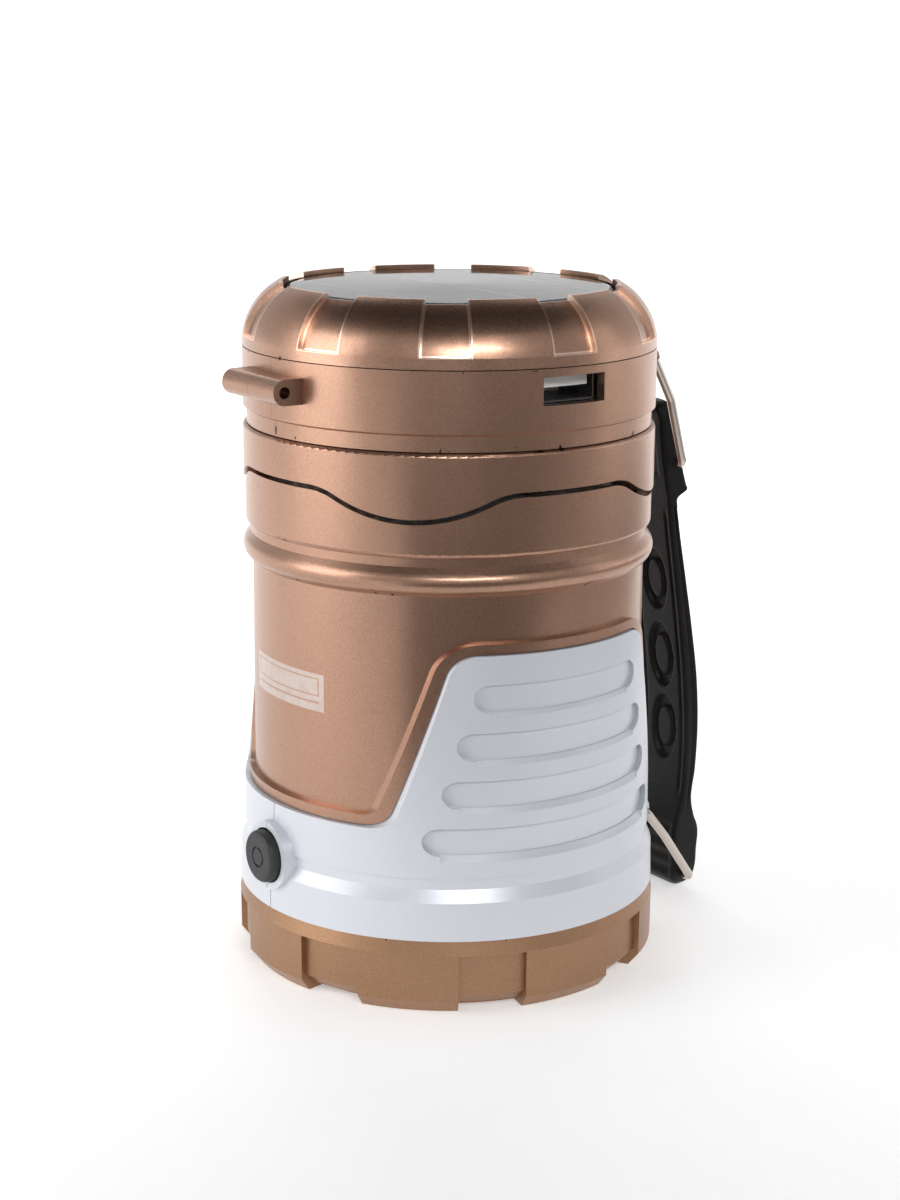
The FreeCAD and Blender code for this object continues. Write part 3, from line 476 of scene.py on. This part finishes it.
def soften(part, width):
    """Bevel the sharp edges and shade the faces evenly."""
    bevel = part.modifiers.new("soft_edges", "BEVEL")
    bevel.width = width * MM
    bevel.segments = 2
    bevel.limit_method = "ANGLE"
    bevel.angle_limit = BEVEL_FROM
    bevel.harden_normals = False
    bevel.use_clamp_overlap = True
    part.data.shade_smooth()
    smooth = part.modifiers.new("weighted", "WEIGHTED_NORMAL")
    smooth.keep_sharp = False


for name, width in SOFT_EDGES.items():
    soften(NODES[name], width)


def smooth_mesh(name, vertices, faces, material):
    """New smooth-shaded object in the scene."""
    mesh = bpy.data.meshes.new(name)
    mesh.from_pydata(vertices, [], faces)
    mesh.update()
    mesh.materials.append(material)
    mesh.shade_smooth()
    made = bpy.data.objects.new(name, mesh)
    bpy.context.scene.collection.objects.link(made)
    return made


def joined_rings(rings, around, closed=False):
    """Quads between rings of vertices, each ring round in the same sense."""
    faces = []
    for j in range(rings if closed else rings - 1):
        above = (j + 1) % rings
        for k in range(around):
            beside = (k + 1) % around
            faces.append((j * around + k, j * around + beside, above * around + beside,
                          above * around + k))
    return faces


# --- rubber strap ----------------------------------------------------------------------------

def through(points, at):
    """Smooth curve through (height, reach) points, read at the given heights."""
    heights = np.array([p[0] for p in points])
    reach = np.array([p[1] for p in points])
    slope = np.gradient(reach, heights)
    index = np.clip(np.searchsorted(heights, at) - 1, 0, len(heights) - 2)
    gap = heights[index + 1] - heights[index]
    t = np.clip((at - heights[index]) / gap, 0, 1)
    a = reach[index]
    b = reach[index + 1]
    return ((2 * t**3 - 3 * t**2 + 1) * a + (t**3 - 2 * t**2 + t) * gap * slope[index]
            + (-2 * t**3 + 3 * t**2) * b + (t**3 - t**2) * gap * slope[index + 1])


# Outline of the strap as (height, distance behind the axis) points, outside and inside.
STRAP_OUTER = [(0.6, 62.0), (1.6, 63.6), (3.2, 64.7), (9.5, 65.7), (14.6, 65.8), (17.6, 64.6),
               (20.8, 63.8), (29.0, 64.6), (38.0, 65.0), (50.0, 64.3), (62.0, 62.4),
               (75.0, 59.9), (87.5, 57.5), (91.0, 57.0), (93.2, 57.3), (94.6, 59.7),
               (95.8, 59.3), (104.2, 56.9), (110.0, 55.6), (114.6, 54.1), (115.2, 53.3)]
STRAP_INNER = [(0.6, 60.8), (2.0, 59.2), (6.0, 58.7), (15.0, 58.7), (18.5, 59.6), (22.5, 60.7),
               (29.0, 61.2), (38.0, 61.3), (50.0, 60.4), (62.0, 58.9), (75.0, 56.9),
               (87.5, 54.9), (92.0, 54.3), (97.0, 53.3), (104.0, 52.1), (110.0, 51.3),
               (114.2, 50.9), (115.2, 51.8)]
# Each pressed oval's middle height and half height, and the half width of all three.
OVALS = ((73.2, 7.6), (55.0, 8.0), (37.6, 8.0))
OVAL_HALF = 4.2
STRAP_FOOT = 0.6
STRAP_TIP = 115.2
STRAP_HALF = 7.95
END_ROUND = 3.0
CORNER = 0.8


def step(value, low, high):
    """Smooth step from 0 at low to 1 at high."""
    t = min(1.0, max(0.0, (value - low) / (high - low)))
    return t * t * (3 - 2 * t)


def section(half, y_in, y_out):
    """Rounded section as (x, y, face) points; face tells the inner, side and outer runs."""
    radius = min(CORNER, half * 0.5, (y_out - y_in) * 0.45)
    flat = half - radius
    low = y_in + radius
    high = y_out - radius

    def run(start, end, count, face):
        return [(x, y, face) for x, y in np.linspace(start, end, count + 1)[:-1]]

    def corner(x, y, first):
        turns = np.radians(np.linspace(first, first + 90, 6)[:-1])
        return [(x + radius * math.cos(turn), y + radius * math.sin(turn), "corner")
                for turn in turns]

    return (run((-flat, y_in), (flat, y_in), 46, "inner") + corner(flat, low, -90)
            + run((half, low), (half, high), 12, "side") + corner(flat, high, 0)
            + run((flat, y_out), (-flat, y_out), 18, "outer") + corner(-flat, high, 90)
            + run((-half, high), (-half, low), 12, "side") + corner(-flat, low, 180))


def pressed(x, z):
    """Depth of the moulded figures on the inner face: ovals with an island, border, ribs."""
    depth = 0.0
    for centre, tall in OVALS:
        ring = math.hypot(x / OVAL_HALF, (z - centre) / tall)
        depth += 1.15 * step(ring, 1.0, 0.88) - 0.95 * step(ring, 0.66, 0.54)
    border = step(z, 22.0, 25.0) * step(z, 91.0, 88.0)
    depth += 0.35 * border * math.exp(-((abs(x) - 6.1) / 0.35) ** 2)
    ribs = step(z, 3.0, 4.0) * step(z, 17.5, 16.0) * step(abs(x), 6.4, 5.8)
    depth += 0.55 * ribs * (0.5 - 0.5 * math.cos(2 * math.pi * (z - 3.0) / 3.4))
    panel = step(z, 97.5, 98.5) * step(z, 112.5, 111.5) * step(abs(x), 5.4, 4.8)
    return depth + 0.45 * panel


def strap_mesh():
    """Moulded strap: ribbed sides, crowned back and three pressed ovals inside."""
    heights = np.concatenate([np.linspace(STRAP_FOOT, 20, 78), np.linspace(20.3, 90, 250),
                              np.linspace(90.2, STRAP_TIP, 110)])
    outer = through(STRAP_OUTER, heights)
    inner = through(STRAP_INNER, heights)
    vertices = []
    for z, y_out, y_in in zip(heights, outer, inner):
        half = STRAP_HALF
        from_end = min(z - STRAP_FOOT, STRAP_TIP - z)
        if from_end < END_ROUND:
            half += math.sqrt(max(0.0, END_ROUND**2 - (END_ROUND - from_end) ** 2)) - END_ROUND
        thick = y_out - y_in
        grip = step(z, 19.0, 23.0) * step(z, 93.0, 90.0)
        for x, y, face in section(half, y_in, y_out):
            if face == "inner" and thick > 2.2:
                y += pressed(x, z)
            elif face == "side":
                along = (y - y_in) / thick
                groove = 0.45 * math.exp(-((along - 0.56) / 0.08) ** 2)
                taper = 0.30 * step(along, 0.6, 0.9)
                x -= math.copysign(grip * (groove + taper), x)
            elif face == "outer":
                y -= 0.35 * grip * (x / half) ** 2
            vertices.append((x * MM, y * MM, z * MM))
    around = len(section(STRAP_HALF, 0.0, 4.0))
    faces = joined_rings(len(heights), around)
    last = (len(heights) - 1) * around
    faces.append(tuple(reversed(range(around))))
    faces.append(tuple(range(last, last + around)))
    return vertices, faces


strap = smooth_mesh("rubber_strap", *strap_mesh(), RUBBER)
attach(strap, "strap")
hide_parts("strap_grip")

# --- fluted chimney --------------------------------------------------------------------------

CHIMNEY_BORE = 36.9
CHIMNEY_RADIUS = 38.6
CHIMNEY_FLANGE = 39.35
CHIMNEY_FLOOR = 58.0
CHIMNEY_SHOULDER = 59.5
CHIMNEY_TOP = 112.0
CHIMNEY_EASE = 0.1
FLUTE_DEPTH = 0.4
FLUTE_SIDES = 10


def eased(corners):
    """Small chamfer at every corner of a closed (radius, height) outline of square turns."""
    points = []
    for index, corner in enumerate(corners):
        for other in (corners[index - 1], corners[(index + 1) % len(corners)]):
            share = CHIMNEY_EASE / math.dist(corner, other)
            points.append(tuple(a + share * (b - a) for a, b in zip(corner, other)))
    return points


def chimney_mesh():
    """Flanged tube whose outer wall is pressed into upright flutes between plain ends."""
    profile = eased([(CHIMNEY_BORE, CHIMNEY_FLOOR), (CHIMNEY_FLANGE, CHIMNEY_FLOOR),
                     (CHIMNEY_FLANGE, CHIMNEY_SHOULDER), (CHIMNEY_RADIUS, CHIMNEY_SHOULDER),
                     (CHIMNEY_RADIUS, CHIMNEY_TOP), (CHIMNEY_BORE, CHIMNEY_TOP)])
    plain = [(radius, z, 0.0) for radius, z in profile]
    wall = [(CHIMNEY_RADIUS, CHIMNEY_SHOULDER + 0.9, 0.0),
            (CHIMNEY_RADIUS, CHIMNEY_SHOULDER + 1.9, FLUTE_DEPTH),
            (CHIMNEY_RADIUS, CHIMNEY_TOP - 2.5, FLUTE_DEPTH),
            (CHIMNEY_RADIUS, CHIMNEY_TOP - 1.5, 0.0)]
    corners_below = 4
    wall_foot = 2 * corners_below
    rings = plain[:wall_foot] + wall + plain[wall_foot:]
    around = FLUTES * FLUTE_SIDES
    vertices = []
    for radius, z, depth in rings:
        for k in range(around):
            angle = 2 * math.pi * k / around
            reach = (radius - depth * (0.5 - 0.5 * math.cos(FLUTES * angle))) * MM
            vertices.append((reach * math.cos(angle), reach * math.sin(angle), z * MM))
    return vertices, joined_rings(len(rings), around, closed=True)


chimney = smooth_mesh("fluted_chimney", *chimney_mesh(), FLUTED)
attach(chimney, "head")
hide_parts("lamp_chimney")

# --- floor, light and camera -----------------------------------------------------------------

CAMERA_AZIMUTH = 55.0
CAMERA_PITCH = 13.55
CAMERA_ROLL = 0.376
CAMERA_REACH = 492.1
CAMERA_HEIGHT = 194.2
CAMERA_LENS = 71.28
CAMERA_SHIFT = 0.00183


def around_axis(azimuth, reach, height):
    """Point in metres, from an azimuth off the front and millimetres from axis and floor."""
    angle = math.radians(azimuth)
    return Vector((math.sin(angle) * reach, -math.cos(angle) * reach, height)) * MM


def place_camera():
    """Camera where the photograph was taken from, looking at the lantern."""
    camera = bpy.data.objects.new("camera", bpy.data.cameras.new("camera"))
    bpy.context.scene.collection.objects.link(camera)
    camera.data.lens = CAMERA_LENS
    camera.data.sensor_width = 36.0
    camera.data.shift_x = CAMERA_SHIFT
    camera.data.clip_start = 0.01
    camera.location = around_axis(CAMERA_AZIMUTH, CAMERA_REACH, CAMERA_HEIGHT)
    turn = (Matrix.Rotation(math.radians(CAMERA_AZIMUTH), 4, "Z")
            @ Matrix.Rotation(math.radians(90 - CAMERA_PITCH), 4, "X")
            @ Matrix.Rotation(math.radians(CAMERA_ROLL), 4, "Z"))
    camera.rotation_mode = "QUATERNION"
    camera.rotation_quaternion = turn.to_quaternion()
    bpy.context.scene.camera = camera


place_camera()

SWEEP_FLAT = 1.5
SWEEP_CURVE = 0.6
SWEEP_WALL = 2.2
SWEEP_BELOW = 0.0002
FLOOR_SHADE = (0.11, 0.11, 0.11)
# Edges of the painted floor shade, as metres across for each metre toward the camera.
GREY_LEFT = -0.44
GREY_RIGHT = 1.9


def painted_floor_shade(look, toward, across):
    """1 on the painted floor shade in front of the camera and to its right, 0 elsewhere."""
    ahead = look.maths("MULTIPLY", look.span(toward, 0.13, 0.19, 0.0, 1.0),
                       look.span(toward, 0.62, 0.9, 1.0, 0.0))
    slant = look.maths("DIVIDE", across, look.maths("MAXIMUM", toward, 0.01))
    left = look.span(slant, GREY_LEFT - 0.10, GREY_LEFT + 0.10, 0.0, 1.0)
    right = look.span(slant, GREY_RIGHT - 0.9, GREY_RIGHT + 0.9, 1.0, 0.0)
    front = look.maths("MULTIPLY", look.maths("MULTIPLY", ahead, left), right)
    beside = look.maths("MULTIPLY", look.span(across, 0.22, 0.34, 0.0, 1.0),
                        look.span(toward, -0.55, -0.3, 0.0, 1.0))
    beside = look.maths("MULTIPLY", beside, look.span(across, 0.5, 0.8, 1.0, 0.0))
    return look.maths("MAXIMUM", front, look.maths("MULTIPLY", beside, 0.8))


def sweep_paper():
    """White paper that glows behind the lantern, with one patch of painted shade outside the
    picture.

    Distances are in metres: toward runs from the lantern to the camera's side, and across
    to the camera's right.
    """
    look = Look("sweep_paper", (0.92, 0.92, 0.92), 0.0, 0.8, Specular_IOR_Level=0.1)
    x, y, z = look.axes()
    angle = math.radians(CAMERA_AZIMUTH)
    toward = look.maths("ADD", look.maths("MULTIPLY", x, math.sin(angle)),
                        look.maths("MULTIPLY", y, -math.cos(angle)))
    across = look.maths("ADD", look.maths("MULTIPLY", x, math.cos(angle)),
                        look.maths("MULTIPLY", y, math.sin(angle)))
    # Painted shade: the paper turns dark grey in front of the camera and beside the lantern, so
    # the lantern reflects a dark floor.
    shade = painted_floor_shade(look, toward, across)
    fibre = look.blend(look.noise(30.0, 4.0), (0.90, 0.90, 0.90), (0.94, 0.94, 0.94))
    look.color(look.blend(shade, fibre, FLOOR_SHADE))
    behind = look.maths("MULTIPLY", look.span(toward, 0.25, -0.6, 0.0, 1.0),
                        look.span(z, 0.2, 0.45, 0.75, 0.10))
    floor_glow = look.span(z, 0.0, 0.1, 0.16, 0.0)
    front_glow = look.span(toward, 0.3, 1.2, 0.0, 0.10)
    glow = look.maths("ADD", behind, look.maths("MAXIMUM", floor_glow, front_glow))
    look.set("Emission Color", (1.0, 1.0, 1.0, 1.0))
    look.link(look.maths("MULTIPLY", glow, look.maths("SUBTRACT", 1.0, shade)),
              look.shader.inputs["Emission Strength"])
    return look.mat


def studio_sweep():
    """Round sweep: a floor that curves up into a wall all the way round."""
    profile = [(reach, 0.0) for reach in (0.0, 0.1, 0.2, 0.35, 0.6, 1.0, SWEEP_FLAT)]
    curve_steps = 12
    for index in range(1, curve_steps + 1):
        angle = math.radians(90 * index / curve_steps)
        profile.append((SWEEP_FLAT + SWEEP_CURVE * math.sin(angle),
                        SWEEP_CURVE * (1 - math.cos(angle))))
    wall = SWEEP_FLAT + SWEEP_CURVE
    profile += [(wall, 2 * SWEEP_CURVE), (wall, SWEEP_WALL)]
    around = 96
    vertices = []
    for reach, height in profile:
        for k in range(around):
            angle = 2 * math.pi * k / around
            vertices.append((reach * math.cos(angle), reach * math.sin(angle),
                             height - SWEEP_BELOW))
    faces = joined_rings(len(profile), around)
    return smooth_mesh("sweep", vertices, faces, sweep_paper())


studio_sweep()


LIGHT_AIM = 75.0


def softbox(name, azimuth, reach, height, width, tall, power):
    """Rectangular light aimed at the lantern; azimuth is counted from the camera's."""
    light = bpy.data.lights.new(name, "AREA")
    light.shape = "RECTANGLE"
    light.size = width * MM
    light.size_y = tall * MM
    light.energy = power
    made = bpy.data.objects.new(name, light)
    bpy.context.scene.collection.objects.link(made)
    made.location = around_axis(CAMERA_AZIMUTH + azimuth, reach, height)
    heading = Vector((0, 0, LIGHT_AIM * MM)) - made.location
    made.rotation_mode = "QUATERNION"
    made.rotation_quaternion = heading.to_track_quat("-Z", "Y")


softbox("left_box", azimuth=-72, reach=620, height=260, width=420, tall=480, power=1.9)
softbox("right_box", azimuth=95, reach=800, height=300, width=260, tall=600, power=0.3)
softbox("top_box", azimuth=180, reach=750, height=850, width=700, tall=500, power=3.4)
softbox("front_high", azimuth=12, reach=900, height=560, width=560, tall=150, power=3.6)

world = bpy.data.worlds.new("studio")
bpy.context.scene.world = world
world.use_nodes = True
background = world.node_tree.nodes["Background"]
background.inputs["Color"].default_value = (1.0, 1.0, 1.0, 1.0)
background.inputs["Strength"].default_value = 0.045
bpy.context.scene.view_settings.view_transform = "Standard"
